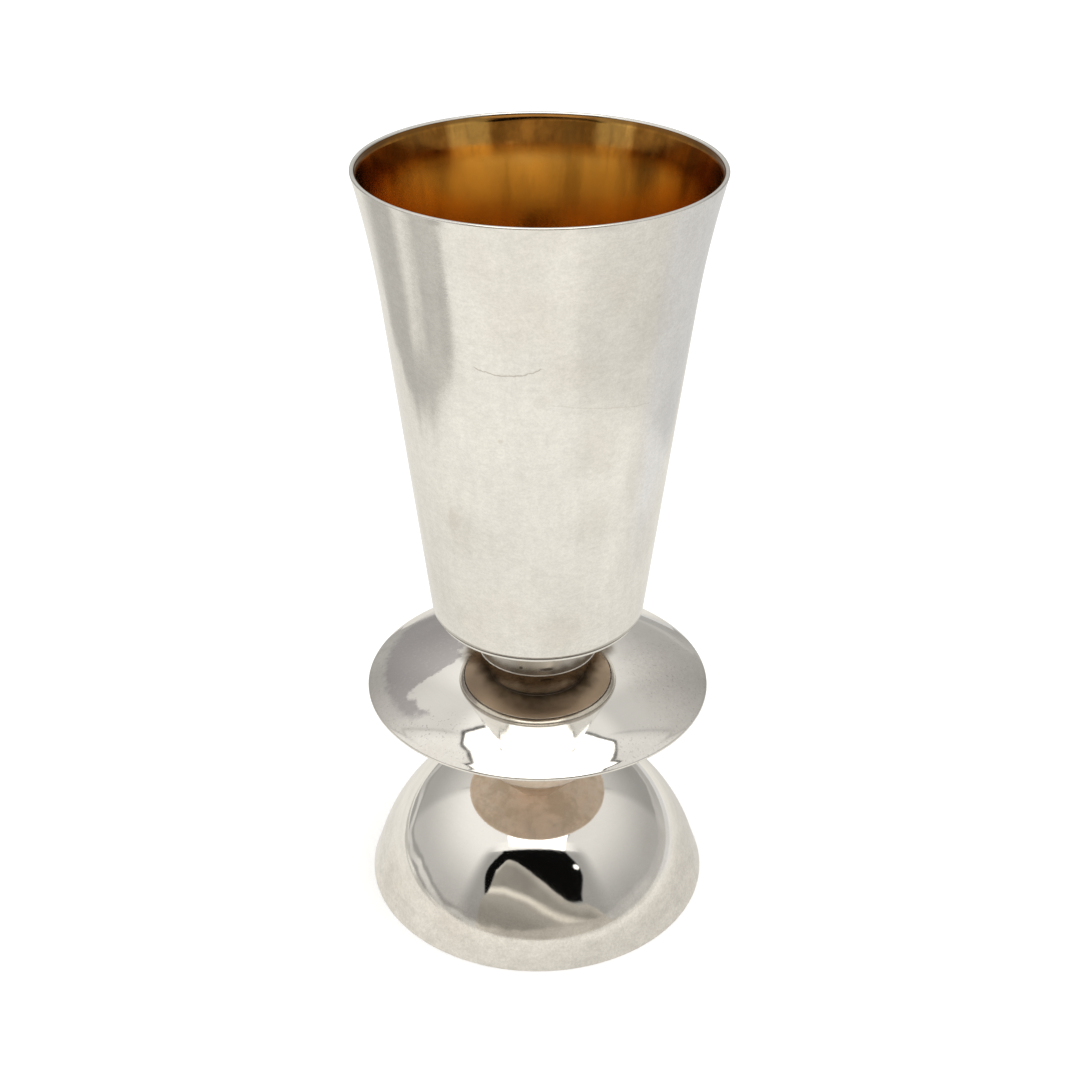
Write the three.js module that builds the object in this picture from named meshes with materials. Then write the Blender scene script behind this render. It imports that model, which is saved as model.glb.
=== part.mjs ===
// Kiddush cup of raised sheet silver, standing on a domed foot.
// Five soldered pieces, all turned about the Z axis: the cup bowl, the drum under it, the domed
// disc, the drum under that, and the foot. Millimetres, +Z up, origin at the centre of the base.
import * as THREE from 'three';

// Driving dimensions
const SEGMENTS = 60;
const SHEET = 0.8;                  // gauge of the raised silver sheet

const RIM_HEIGHT = 140.2;
const RIM_RADIUS = 30.0;
const LIP_THICKNESS = 1.1;          // the rim is thickened into a rounded lip
const LIP_DEPTH = 1.6;              // how far down the inside the thickening fades
const BOWL_BASE_HEIGHT = 59.3;      // sharp turn at the foot of the bowl's wall
const BOWL_BASE_RADIUS = 19.0;
const FLARE_START_HEIGHT = 118.0;   // straight cone below, trumpet flare above
const WALL_SLOPE = 0.1175;          // outward run of the cone for each millimetre of rise
const STEP_HEIGHT = 1.0;            // band soldered under the bowl, a little smaller than the wall
const STEP_INSET = 0.45;
const FLOOR_THICKNESS = 1.4;
const FLOOR_FILLET = 3.0;           // rounded corner inside, between floor and wall

const DRUM_RADIUS = 10.75;          // both drums have the same radius

const DISC_RADIUS = 31.3;
const DISC_EDGE_HEIGHT = 43.1;      // top of the disc's edge
const DISC_DOME_RADIUS = 64.5;      // radius of curvature of the disc

const FOOT_RADIUS = 32.1;           // the base edge, turned out a little from the dome
const BASE_FLARE_HEIGHT = 1.5;
const DOME_SEMI_WIDTH = 32.6;       // the foot's dome is the top of an ellipsoid
const DOME_SEMI_HEIGHT = 34.8;
const DOME_CENTRE_DEPTH = 7.6;      // how far the ellipsoid's centre lies below the base
const FOOT_SHEET = 0.9;

// Silver seen from outside, and the gilding inside the bowl shown by the bowl's warmer tone
const SILVER = 0xdcd8cf;
const GILT_SILVER = 0xd9c9a0;

const point = (radius, height) => new THREE.Vector2(radius, height);

// Even steps between two values, both ends included
function steps(from, to, count) {
  return Array.from({ length: count + 1 }, (_, i) => from + ((to - from) * i) / count);
}

// Points of a circular arc in the profile plane, angles in radians from the outward direction
function arc(centreRadius, centreHeight, radius, from, to, count) {
  return steps(from, to, count).map((angle) =>
    point(centreRadius + radius * Math.cos(angle), centreHeight + radius * Math.sin(angle)));
}

// Turns a profile, listed anticlockwise from the axis and back to it, into a closed body about Z
function turned(name, profile, color, roughness) {
  const geometry = new THREE.LatheGeometry(profile, SEGMENTS);
  geometry.rotateX(Math.PI / 2);
  const material = new THREE.MeshStandardMaterial({ color, roughness, metalness: 1.0 });
  const mesh = new THREE.Mesh(geometry, material);
  mesh.name = name;
  return mesh;
}

// Height of the disc's dome at a radius; the underside is the same dome, a sheet lower
function discHeight(radius, drop = 0) {
  const centre = DISC_EDGE_HEIGHT - Math.sqrt(DISC_DOME_RADIUS ** 2 - DISC_RADIUS ** 2);
  return centre + Math.sqrt(DISC_DOME_RADIUS ** 2 - radius ** 2) - drop;
}

// Height of the foot's dome at a radius; the hollow inside is a smaller ellipsoid, a sheet inward
function footHeight(radius, inward = 0) {
  const share = radius / (DOME_SEMI_WIDTH - inward);
  return (DOME_SEMI_HEIGHT - inward) * Math.sqrt(1 - share ** 2) - DOME_CENTRE_DEPTH;
}

// Angle of a point of the foot's dome, measured at the ellipsoid's centre
function domeAngle(height, inward) {
  return Math.asin((height + DOME_CENTRE_DEPTH) / (DOME_SEMI_HEIGHT - inward));
}

// Points along the foot's dome between two of those angles
function domeArc(inward, from, to, count) {
  return steps(from, to, count).map((angle) => point(
    (DOME_SEMI_WIDTH - inward) * Math.cos(angle),
    (DOME_SEMI_HEIGHT - inward) * Math.sin(angle) - DOME_CENTRE_DEPTH,
  ));
}

// Radii at which a drum and the dome that it is soldered to share their points
const SEAT_RADII = [0, DRUM_RADIUS / 2, DRUM_RADIUS];

// Outside of the bowl's wall at a height: a cone that opens into a trumpet flare below the rim
function wallRadius(height) {
  const cone = BOWL_BASE_RADIUS + WALL_SLOPE * (height - BOWL_BASE_HEIGHT);
  const flareHeight = RIM_HEIGHT - FLARE_START_HEIGHT;
  const coneAtRim = BOWL_BASE_RADIUS + WALL_SLOPE * (RIM_HEIGHT - BOWL_BASE_HEIGHT);
  const rise = Math.max(0, height - FLARE_START_HEIGHT) / flareHeight;
  return cone + (RIM_RADIUS - coneAtRim) * rise ** 2;
}

// Hollow beaker with a stepped base, a rounded lip and a filleted floor
function cupBowl() {
  const underside = BOWL_BASE_HEIGHT - STEP_HEIGHT;
  const floor = underside + FLOOR_THICKNESS;
  const stepRadius = BOWL_BASE_RADIUS - STEP_INSET;
  const lipRadius = LIP_THICKNESS / 2;
  const lipCentre = RIM_HEIGHT - lipRadius;
  const inside = (height) => wallRadius(height) - SHEET;
  const filletCentre = inside(floor + FLOOR_FILLET) - FLOOR_FILLET;
  const heights = steps(FLARE_START_HEIGHT, lipCentre, 6);
  const outer = [point(BOWL_BASE_RADIUS, BOWL_BASE_HEIGHT)]
    .concat(heights.slice(0, -1).map((height) => point(wallRadius(height), height)));
  const lip = arc(RIM_RADIUS - lipRadius, lipCentre, lipRadius, 0, Math.PI, 4);
  const innerHeights = [lipCentre - LIP_DEPTH].concat(heights.slice(0, -2).reverse());
  const inner = innerHeights.map((height) => point(inside(height), height));
  const fillet = arc(filletCentre, floor + FLOOR_FILLET, FLOOR_FILLET, 0, -Math.PI / 2, 4);
  const profile = [
    point(0, underside),
    point(stepRadius, underside),
    point(stepRadius, BOWL_BASE_HEIGHT),
    ...outer,
    ...lip,
    ...inner,
    ...fillet,
    point(0, floor),
  ];
  return turned('cup_bowl', profile, GILT_SILVER, 0.22);
}

// Solid drum between the bowl's underside and the crown of the disc
function upperDrum() {
  const top = BOWL_BASE_HEIGHT - STEP_HEIGHT;
  const seat = SEAT_RADII.map((radius) => point(radius, discHeight(radius)));
  const profile = [...seat, point(DRUM_RADIUS, top), point(0, top)];
  return turned('upper_drum', profile, SILVER, 0.25);
}

// Shallow dome of sheet with a bare rounded edge, hollow below
function disc() {
  const crown = SEAT_RADII.concat(steps(DRUM_RADIUS, DISC_RADIUS - SHEET / 2, 4).slice(1));
  const top = crown.map((radius) => point(radius, discHeight(radius)));
  const below = crown.map((radius) => point(radius, discHeight(radius, SHEET)));
  const edge = point(DISC_RADIUS, DISC_EDGE_HEIGHT - SHEET / 2);
  const profile = [...below, edge, ...top.reverse()];
  return turned('domed_disc', profile, SILVER, 0.15);
}

// Solid drum between the foot's crown and the hollow underside of the disc
function lowerDrum() {
  const seat = SEAT_RADII.map((radius) => point(radius, footHeight(radius)));
  const head = SEAT_RADII.map((radius) => point(radius, discHeight(radius, SHEET)));
  const profile = [...seat, ...head.reverse()];
  return turned('lower_drum', profile, SILVER, 0.3);
}

// Hollow dome, open below, standing on its flat edge
function foot() {
  const crown = SEAT_RADII.map((radius) => point(radius, footHeight(radius)));
  const seatAngle = Math.acos(DRUM_RADIUS / DOME_SEMI_WIDTH);
  const side = domeArc(0, domeAngle(BASE_FLARE_HEIGHT, 0), seatAngle, 7).slice(0, -1);
  const hollow = domeArc(FOOT_SHEET, Math.PI / 2, domeAngle(0, FOOT_SHEET), 8).slice(1);
  const profile = [
    point(0, footHeight(0, FOOT_SHEET)),
    ...hollow,
    point(FOOT_RADIUS, 0),
    ...side,
    ...crown.reverse(),
  ];
  return turned('foot', profile, SILVER, 0.12);
}

const kiddushCup = new THREE.Group();
kiddushCup.add(cupBowl(), upperDrum(), disc(), lowerDrum(), foot());

export default kiddushCup;
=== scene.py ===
"""Kiddush cup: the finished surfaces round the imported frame, and the studio that it stands in.

Five turned pieces of sheet silver, gilt inside the bowl. Metres, +Z up, axis on Z.
"""

import math

import bpy
from bpy.props import FloatProperty, FloatVectorProperty, IntProperty, PointerProperty
from bpy.types import Operator, Panel, PropertyGroup
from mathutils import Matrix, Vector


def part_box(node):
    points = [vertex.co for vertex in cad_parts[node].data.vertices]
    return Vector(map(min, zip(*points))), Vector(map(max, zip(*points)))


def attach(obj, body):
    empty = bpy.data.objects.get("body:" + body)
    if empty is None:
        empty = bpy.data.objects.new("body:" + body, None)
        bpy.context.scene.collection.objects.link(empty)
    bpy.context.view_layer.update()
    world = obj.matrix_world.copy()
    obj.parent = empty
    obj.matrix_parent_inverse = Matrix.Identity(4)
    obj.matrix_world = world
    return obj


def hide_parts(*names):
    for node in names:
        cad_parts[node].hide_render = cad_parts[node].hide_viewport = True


bl_info = {
    "name": "Kiddush cup",
    "version": (1, 0, 0),
    "blender": (4, 5, 0),
    "location": "3D View > Sidebar > Kiddush cup",
    "description": "Turns the five silver pieces of a kiddush cup and sets the studio round it",
    "category": "Object",
}

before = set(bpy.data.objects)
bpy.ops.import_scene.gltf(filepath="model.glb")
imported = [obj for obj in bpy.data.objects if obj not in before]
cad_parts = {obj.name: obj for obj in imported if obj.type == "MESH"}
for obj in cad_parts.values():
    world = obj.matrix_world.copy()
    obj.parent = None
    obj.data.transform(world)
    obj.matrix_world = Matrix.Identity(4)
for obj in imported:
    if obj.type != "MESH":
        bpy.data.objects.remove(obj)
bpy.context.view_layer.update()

MM = 0.001
BODY = "root"

# The camera stands a hair to the right of the cup's axis and isn't quite level
CAMERA_ASIDE = 0.34 * MM
CAMERA_ROLL, CAMERA_TURN = -0.0039, 0.0021
CAMERA_SHIFT = -0.0003
SENSOR_WIDTH = 36.0
FLOOR_RADIUS, MIRRORED_FLOOR_RADIUS, TENT_RADIUS = 6.0, 0.6, 1.4
FLOOR_HEIGHT = -0.05 * MM
WORLD_LIGHT = 1.35
KEY_LIGHT_PLACE = (0.55, -0.15, 0.95)
KEY_LIGHT_SIZE, KEY_LIGHT_WATTS = 0.8, 1.2

bowl_low, bowl_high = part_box("cup_bowl")
upper_low, upper_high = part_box("upper_drum")
_, disc_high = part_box("domed_disc")
_, foot_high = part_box("foot")


# --------------------------------------------------------------------------------------------
# What a user would change


class BowlSizes(PropertyGroup):
    """Sizes of the beaker-shaped bowl."""

    rim_radius: FloatProperty(
        name="Rim radius", description="Outside radius of the lip", default=bowl_high.x,
        unit="LENGTH", precision=4,
    )
    rim_height: FloatProperty(
        name="Rim height", description="Height of the lip above the table", default=bowl_high.z,
        unit="LENGTH", precision=4,
    )
    underside: FloatProperty(
        name="Underside", description="Height of the bowl's flat underside", default=bowl_low.z,
        unit="LENGTH", precision=4,
    )
    base_radius: FloatProperty(
        name="Base radius", description="Radius of the sharp turn at the foot of the wall",
        default=19.0 * MM, unit="LENGTH", precision=4,
    )
    step_height: FloatProperty(
        name="Step height", description="Height of the band soldered under the bowl",
        default=1.0 * MM, unit="LENGTH", precision=4,
    )
    step_inset: FloatProperty(
        name="Step inset", description="How much smaller the band is than the wall",
        default=0.65 * MM, unit="LENGTH", precision=5,
    )
    slope: FloatProperty(
        name="Slope", description="Outward run of the straight wall for each unit of rise",
        default=0.1175,
    )
    flare_height: FloatProperty(
        name="Flare height", description="How far below the lip the wall starts to open out",
        default=22.2 * MM, unit="LENGTH", precision=4,
    )
    sheet: FloatProperty(
        name="Sheet", description="Thickness of the raised wall", default=0.8 * MM, unit="LENGTH",
        precision=5,
    )
    lip: FloatProperty(
        name="Lip", description="Thickness of the rounded lip", default=0.88 * MM, unit="LENGTH",
        precision=5,
    )
    floor: FloatProperty(
        name="Floor", description="Thickness of the bowl's floor", default=1.4 * MM,
        unit="LENGTH", precision=5,
    )
    fillet: FloatProperty(
        name="Fillet", description="Rounding between the wall and the floor inside",
        default=3.0 * MM, unit="LENGTH", precision=4,
    )


class StemSizes(PropertyGroup):
    """Sizes of the two plain drums and the disc between them."""

    drum_radius: FloatProperty(
        name="Drum radius", description="Radius of both drums", default=upper_high.x,
        unit="LENGTH", precision=4,
    )
    solder: FloatProperty(
        name="Solder fillet", description="Radius of the solder run round each end of a drum",
        default=0.12 * MM, unit="LENGTH", precision=5,
    )
    disc_radius: FloatProperty(
        name="Disc radius", description="Outside radius of the domed disc", default=disc_high.x,
        unit="LENGTH", precision=4,
    )
    disc_sheet: FloatProperty(
        name="Disc sheet", description="Thickness of the disc", default=0.8 * MM, unit="LENGTH",
        precision=5,
    )
    disc_curve: FloatProperty(
        name="Disc curve", description="Radius of curvature of the disc's dome",
        default=64.5 * MM, unit="LENGTH", precision=4,
    )


class FootSizes(PropertyGroup):
    """Sizes of the hollow domed foot."""

    base_radius: FloatProperty(
        name="Base radius", description="Outside radius of the edge that it stands on",
        default=foot_high.x, unit="LENGTH", precision=4,
    )
    flare_height: FloatProperty(
        name="Flare height", description="Height of the edge that turns out below the dome",
        default=4.0 * MM, unit="LENGTH", precision=4,
    )
    dome_width: FloatProperty(
        name="Dome half width",
        description="Half width of the ellipsoid that the dome is the top of", default=32.6 * MM,
        unit="LENGTH", precision=4,
    )
    dome_height: FloatProperty(
        name="Dome half height", description="Half height of that ellipsoid", default=34.8 * MM,
        unit="LENGTH", precision=4,
    )
    dome_sunk: FloatProperty(
        name="Dome centre depth",
        description="How far the ellipsoid's centre lies under the table", default=7.6 * MM,
        unit="LENGTH", precision=4,
    )
    sheet: FloatProperty(
        name="Foot sheet", description="Thickness of the foot's wall", default=0.9 * MM,
        unit="LENGTH", precision=5,
    )


class Finish(PropertyGroup):
    """Colours and mesh density of the finished pieces."""

    silver: FloatVectorProperty(
        name="Silver", description="Clean silver", subtype="COLOR", size=3, min=0.0, max=1.0,
        default=(0.93, 0.905, 0.86),
    )
    gilding: FloatVectorProperty(
        name="Gilding", description="Gilding inside the bowl", subtype="COLOR", size=3, min=0.0,
        max=1.0, default=(0.68, 0.395, 0.105),
    )
    segments: IntProperty(
        name="Segments", description="Faces round each turned piece", default=288, min=24,
        max=512,
    )
    unevenness: FloatProperty(
        name="Unevenness",
        description="Depth of the shallow waves that hand work leaves in the sheet",
        default=0.02 * MM, unit="LENGTH", precision=6,
    )


class Studio(PropertyGroup):
    """The pale floor, the light tent and the camera."""

    floor_tone: FloatVectorProperty(
        name="Floor", description="Colour of the paper floor as the silver mirrors it",
        subtype="COLOR", size=3, min=0.0, max=1.0, default=(0.95, 0.93, 0.875),
    )
    tent_tone: FloatVectorProperty(
        name="Tent", description="Colour of the tent's cloth walls", subtype="COLOR", size=3,
        min=0.0, max=1.0, default=(0.92, 0.91, 0.88),
    )
    camera_distance: FloatProperty(
        name="Camera distance",
        description="How far the camera stands in front of the cup's axis", default=263.2 * MM,
        unit="LENGTH",
    )
    camera_height: FloatProperty(
        name="Camera height", description="Height of the camera above the table",
        default=223.0 * MM, unit="LENGTH",
    )
    camera_tilt: FloatProperty(
        name="Camera tilt", description="How far the camera looks down",
        default=math.radians(29.84), subtype="ANGLE",
    )
    lens: FloatProperty(
        name="Lens", description="Focal length in millimetres", default=57.12
    )


# --------------------------------------------------------------------------------------------
# Profiles: points (radius, height), listed anticlockwise from the axis and back to it


def steps(start, end, count):
    """Even steps between two values, both ends included."""
    return [start + (end - start) * i / count for i in range(count + 1)]


def arc(centre, radius, start, end, count):
    """Points of an arc in the profile plane, angles from the outward direction."""
    return [
        (centre[0] + radius * math.cos(a), centre[1] + radius * math.sin(a))
        for a in steps(start, end, count)
    ]


def softened(points, corner, radius, count=6):
    """Replaces one corner of a profile by a small arc that touches both of its sides."""
    before, at, after = points[corner - 1], points[corner], points[corner + 1]
    arms = []
    for other in (before, after):
        length = math.dist(at, other)
        arms.append(((other[0] - at[0]) / length, (other[1] - at[1]) / length))
    half = math.acos(arms[0][0] * arms[1][0] + arms[0][1] * arms[1][1]) / 2
    reach = radius / math.tan(half)
    bisector = (arms[0][0] + arms[1][0], arms[0][1] + arms[1][1])
    size = math.hypot(*bisector)
    centre = tuple(at[i] + bisector[i] / size * radius / math.sin(half) for i in (0, 1))
    ends = [tuple(at[i] + arm[i] * reach for i in (0, 1)) for arm in arms]
    start, end = (math.atan2(p[1] - centre[1], p[0] - centre[0]) for p in ends)
    turn = (end - start + math.pi) % (2 * math.pi) - math.pi
    return points[:corner] + arc(centre, radius, start, start + turn, count) + points[corner + 1 :]


def refined(points, longest):
    """Splits a profile's long runs, so that shading stays true next to small radii."""
    fine = [points[0]]
    for start, end in zip(points, points[1:]):
        length = math.dist(start, end)
        count = max(1, math.ceil(length / longest))
        if length > longest:
            margin = 0.06 * MM / length
            shares = [margin] + steps(margin, 1 - margin, count)[1:] + [1.0]
        else:
            shares = [1.0]
        fine += [
            (start[0] + (end[0] - start[0]) * s, start[1] + (end[1] - start[1]) * s)
            for s in shares
        ]
    return fine


def wall_radius(sizes, height):
    """Outside radius of the bowl's wall: a cone that opens into a flare under the lip."""
    base = sizes.underside + sizes.step_height
    cone = sizes.base_radius + sizes.slope * (height - base)
    cone_at_rim = sizes.base_radius + sizes.slope * (sizes.rim_height - base)
    start = sizes.rim_height - sizes.flare_height
    rise = max(0.0, height - start) / sizes.flare_height
    return cone + (sizes.rim_radius - cone_at_rim) * rise**2


GROOVE_INSET = 1.15 * MM        # solder groove under the bowl, from the edge of its band
GROOVE_HALF_WIDTH = 0.18 * MM
GROOVE_DEPTH = 0.25 * MM
LIP_FADE = 6.0 * MM             # how far down the inside the thickened lip reaches
# Corners of the bowl's base, the last first: place in the profile, rounding, faces
BOWL_CORNERS = (
    (6, 0.42 * MM, 8),
    (5, 0.10 * MM, 4),
    (4, 0.15 * MM, 4),
    (3, 0.06 * MM, 3),
    (1, 0.06 * MM, 3),
)


def bowl_profile(sizes):
    """The bowl's section, and the index from which it is gilt."""
    base = sizes.underside + sizes.step_height
    floor = sizes.underside + sizes.floor
    step_radius = sizes.base_radius - sizes.step_inset
    lip_height = sizes.rim_height - sizes.lip / 2
    groove = step_radius - GROOVE_INSET
    wall_start = base + 4 * MM
    outside = [
        (0.0, sizes.underside),
        (groove - GROOVE_HALF_WIDTH, sizes.underside),
        (groove, sizes.underside + GROOVE_DEPTH),
        (groove + GROOVE_HALF_WIDTH, sizes.underside),
        (step_radius, sizes.underside),
        (step_radius, base),
        (sizes.base_radius, base),
        (wall_radius(sizes, wall_start), wall_start),
    ]
    for corner, radius, count in BOWL_CORNERS:
        outside = softened(outside, corner, radius, count)
    outside = refined(outside, 1.5 * MM)
    outside += [
        (wall_radius(sizes, h), h) for h in steps(wall_start, lip_height, 80)[1:-1]
    ]
    rim = sizes.rim_radius
    lip = [
        outside[-1],
        (rim, sizes.rim_height),
        (rim - sizes.lip, sizes.rim_height),
        (rim - sizes.lip, lip_height),
    ]
    lip = softened(lip, 2, 0.4 * MM, 10)
    lip = refined(softened(lip, 1, 0.28 * MM, 10)[1:], 0.3 * MM)
    inside = []
    fillet_top = floor + sizes.fillet
    for h in steps(lip_height, fillet_top, 80):
        fade = min(1.0, max(0.0, (lip_height - h) / LIP_FADE - 0.8) * 5)
        wall = sizes.sheet + (sizes.lip - sizes.sheet) * (1 - fade)
        inside.append((wall_radius(sizes, h) - wall, h))
    centre = (inside[-1][0] - sizes.fillet, fillet_top)
    fillet = arc(centre, sizes.fillet, 0.0, -math.pi / 2, 16)[1:]
    bottom = refined([fillet[-1], (0.0, floor)], 1.5 * MM)[1:]
    return outside + lip[:-1] + inside + fillet + bottom, len(outside) + len(lip) - 4


def disc_height(sizes, radius, drop=0.0):
    """Height of the disc's dome at a radius; its underside is the same dome, a sheet lower."""
    rise = math.sqrt(sizes.disc_curve**2 - radius**2)
    at_drum = math.sqrt(sizes.disc_curve**2 - sizes.drum_radius**2)
    return upper_low.z + rise - at_drum - drop


def foot_outline(sizes, radius, inward=0.0):
    """Height of the foot's dome at a radius, or of the hollow inside it."""
    share = radius / (sizes.dome_width - inward)
    return (sizes.dome_height - inward) * math.sqrt(1 - share**2) - sizes.dome_sunk


def disc_profile(sizes):
    """The disc's section, and the index at which its upper face starts."""
    half = sizes.disc_sheet / 2
    edge = sizes.disc_radius - half
    radii = steps(0.0, edge, 60)
    below = [(r, disc_height(sizes, r, sizes.disc_sheet)) for r in radii]
    lean = math.asin(edge / sizes.disc_curve)
    centre = (edge, disc_height(sizes, edge, half))
    rim = arc(centre, half, -math.pi / 2 - lean * 0.2, math.pi / 2 - lean, 12)
    above = [(r, disc_height(sizes, r)) for r in reversed(radii)]
    return below[:-1] + rim + above[1:], len(below) + 3


def drum_profile(sizes, seat, head):
    """A drum between two domes, with a thin run of solder round each end."""
    radius = sizes.drum_radius
    run = sizes.solder
    low = [(r, seat(r)) for r in steps(0.0, radius + run, 6)]
    high = [(r, head(r)) for r in reversed(steps(0.0, radius + run, 6))]
    low_cove = arc((radius + run, low[-1][1] + run), run, -math.pi / 2, -math.pi, 6)[1:]
    high_cove = arc((radius + run, high[0][1] - run), run, math.pi, math.pi / 2, 6)[:-1]
    side = refined([low_cove[-1], high_cove[0]], 0.5 * MM)[1:-1]
    return low + low_cove + side + high_cove + high


def foot_profile(sizes):
    """The foot's section, and the index at which its outside starts."""
    inward = sizes.sheet
    crown = sizes.dome_height - inward

    def angle_at(height, semi_height):
        return math.asin((height + sizes.dome_sunk) / semi_height)

    hollow = [
        ((sizes.dome_width - inward) * math.cos(a), crown * math.sin(a) - sizes.dome_sunk)
        for a in steps(math.pi / 2, angle_at(0.0, crown), 70)
    ]
    spare = sizes.base_radius - sizes.dome_width * math.cos(angle_at(0.0, sizes.dome_height))
    dome = []
    for a in steps(angle_at(0.0, sizes.dome_height), math.pi / 2, 110):
        height = max(0.0, sizes.dome_height * math.sin(a) - sizes.dome_sunk)
        turn_out = spare * max(0.0, 1 - height / sizes.flare_height) ** 2
        dome.append((sizes.dome_width * math.cos(a) + turn_out, height))
    base = softened([hollow[-1], dome[0], dome[2]], 1, 0.12 * MM, 5)
    return hollow[:-1] + base + dome[3:], len(hollow) + 2


# --------------------------------------------------------------------------------------------
# Turning: a Geometry Nodes tree that spins a profile about Z


class Tree:
    """Adds and links the nodes of one node tree."""

    def __init__(self, tree):
        self.tree = tree

    def add(self, kind, inputs=None, **settings):
        """One node with its settings; inputs are values or sockets, by name or index."""
        node = self.tree.nodes.new(kind)
        for key, value in settings.items():
            setattr(node, key, value)
        for key, value in (inputs or {}).items():
            self.put(node.inputs[key], value)
        return node

    def put(self, socket, value):
        """Sets an input, or links it when the value is another node's output."""
        if isinstance(value, bpy.types.NodeSocket):
            self.tree.links.new(value, socket)
        else:
            socket.default_value = value

    def math(self, operation, *values, clamp=False):
        kind = "ShaderNodeMath"
        inputs = dict(enumerate(values))
        return self.add(kind, inputs, operation=operation, use_clamp=clamp).outputs[0]

    def vector(self, operation, first, second):
        inputs = {0: first, 1: second}
        return self.add("ShaderNodeVectorMath", inputs, operation=operation).outputs[0]

    def parts(self, vector):
        """The three components of a vector."""
        return tuple(self.add("ShaderNodeSeparateXYZ", {0: vector}).outputs)

    def product(self, *values):
        total = values[0]
        for value in values[1:]:
            total = self.math("MULTIPLY", total, value)
        return total

    def most(self, *values):
        total = values[0]
        for value in values[1:]:
            total = self.math("MAXIMUM", total, value)
        return total

    def hypot(self, first, second):
        squares = self.math("ADD", self.product(first, first), self.product(second, second))
        return self.math("SQRT", squares)

    def between(self, value, low, high, to_low=0.0, to_high=1.0, smooth=True):
        """Maps a value from one range to another, held inside it."""
        ends = {"From Min": low, "From Max": high, "To Min": to_low, "To Max": to_high}
        how = "SMOOTHSTEP" if smooth else "LINEAR"
        node = self.add("ShaderNodeMapRange", {"Value": value, **ends}, interpolation_type=how)
        return node.outputs["Result"]

    def rises(self, value, at, soft):
        """0 below a place and 1 above it, with a soft step."""
        return self.between(value, at - soft, at + soft)

    def falls(self, value, at, soft):
        """1 below a place and 0 above it, with a soft step."""
        return self.between(value, at - soft, at + soft, 1.0, 0.0)

    def window(self, value, low, high, soft):
        """1 between two places and 0 outside them, with soft steps."""
        return self.product(self.rises(value, low, soft), self.falls(value, high, soft))

    def stray(self, value, noise, reach):
        """A value led to and fro by a noise."""
        return self.math("MULTIPLY_ADD", self.math("SUBTRACT", noise, 0.5), reach, value)

    def mixed(self, amount, first, second):
        """first where amount is 0, second where it is 1."""
        return self.math("MULTIPLY_ADD", amount, self.math("SUBTRACT", second, first), first)

    def scaled(self, value, vector):
        """A colour or a direction multiplied by a value."""
        inputs = {0: vector, "Scale": value}
        return self.add("ShaderNodeVectorMath", inputs, operation="SCALE").outputs[0]

    def blend(self, amount, first, second, how="MIX"):
        """The first colour where amount is 0, blended with the second where it is 1."""
        node = self.add("ShaderNodeMix", {"Factor": amount}, data_type="RGBA", blend_type=how)
        for socket, colour in ((node.inputs["A"], first), (node.inputs["B"], second)):
            self.put(socket, colour if isinstance(colour, bpy.types.NodeSocket) else (*colour, 1))
        return node.outputs["Result"]


SEAM_GAP = 1e-6                 # points of the seam and the poles that are nearer than this join


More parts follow.
